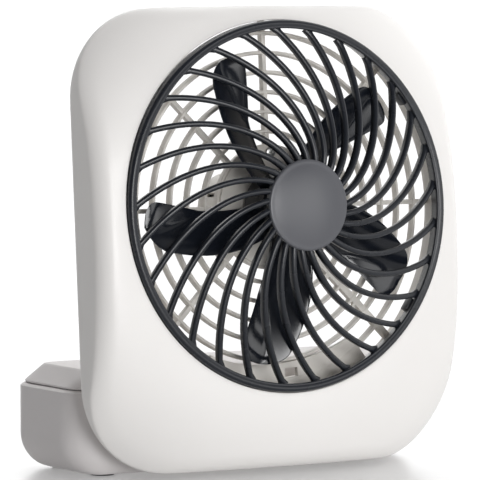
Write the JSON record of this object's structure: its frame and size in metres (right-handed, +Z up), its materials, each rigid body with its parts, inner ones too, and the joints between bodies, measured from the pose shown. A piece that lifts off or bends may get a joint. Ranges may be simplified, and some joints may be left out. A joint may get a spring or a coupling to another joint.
{
  "type": "folding desk fan",
  "caption": "Square-headed personal fan with swept round grille, folding down on a battery base.",
  "frame": {"origin": "middle of the object's footprint box, on the surface the feet stand on, with the head in its upright working position", "axes": "+Z up, the grille faces -Y, +X to the right seen from the front"},
  "size_m": [0.17, 0.1002, 0.1858],
  "materials": {
    "white_shell": "satin moulded",
    "charcoal": "satin moulded",
    "hub_cap": "fine satin",
    "light_shell": "fine moulded",
    "grey_shell": "fine moulded",
    "blade": "glossy",
    "black": "plain",
    "rubber": "plain",
    "steel": "plated",
    "brass": "plain",
    "copper": "wound enamelled wire",
    "cell": "wrapped can",
    "lead_red": "wire insulation"
  },
  "bodies": {
    "base": {"base_tub": "grey_shell", "base_cover": "grey_shell", "foot_1": "rubber", "foot_2": "rubber", "foot_3": "rubber", "foot_4": "rubber", "base_screw_1": "steel", "base_screw_2": "steel", "base_screw_3": "steel", "base_screw_4": "steel", "hinge_pin_left": "steel", "hinge_pin_right": "steel", "hinge_washer_left": "steel", "hinge_washer_right": "steel", "battery_1": "cell", "battery_2": "cell", "contact_spring": "steel", "contact_plate": "brass", "switch_body": "black", "dc_jack": "black", "jack_pin": "brass", "lead_battery": "lead_red", "lead_jack": "black"},
    "head": {"front_housing": "white_shell", "front_grille": "charcoal", "grille_cap": "hub_cap", "rear_housing": "light_shell", "rear_grille": "light_shell", "motor_cup": "light_shell", "housing_screw_1": "steel", "housing_screw_2": "steel", "housing_screw_3": "steel", "housing_screw_4": "steel", "motor_screw_top": "steel", "motor_screw_low": "steel", "motor_plate": "light_shell", "motor_can": "steel", "motor_end_cap": "black", "motor_bushing": "brass", "motor_lead_red": "lead_red", "motor_lead_black": "black"},
    "impeller": {"fan_impeller": "blade", "motor_shaft": "steel", "motor_rotor": "copper"},
    "switch": {"switch_knob": "charcoal"},
    "door": {"battery_door": "grey_shell"}
  },
  "joints": [
    {"name": "head_tilt", "type": "hinge", "parent": "base", "child": "head", "pos_m": [0, -0.00316, 0.0345], "axis": [-1, 0, 0], "range_deg": [-4, 86]},
    {"name": "blade_spin", "type": "hinge", "parent": "head", "child": "impeller", "pos_m": [0, -0.03305, 0.10668], "axis": [0, -0.9973, 0.0732], "continuous": true},
    {"name": "switch_slide", "type": "slide", "parent": "base", "child": "switch", "axis": [1, 0, 0], "range_m": [-0.004, 0.004]},
    {"name": "door_slide", "type": "slide", "parent": "base", "child": "door", "axis": [0, 1, 0], "range_m": [0, 0.014]}
  ]
}
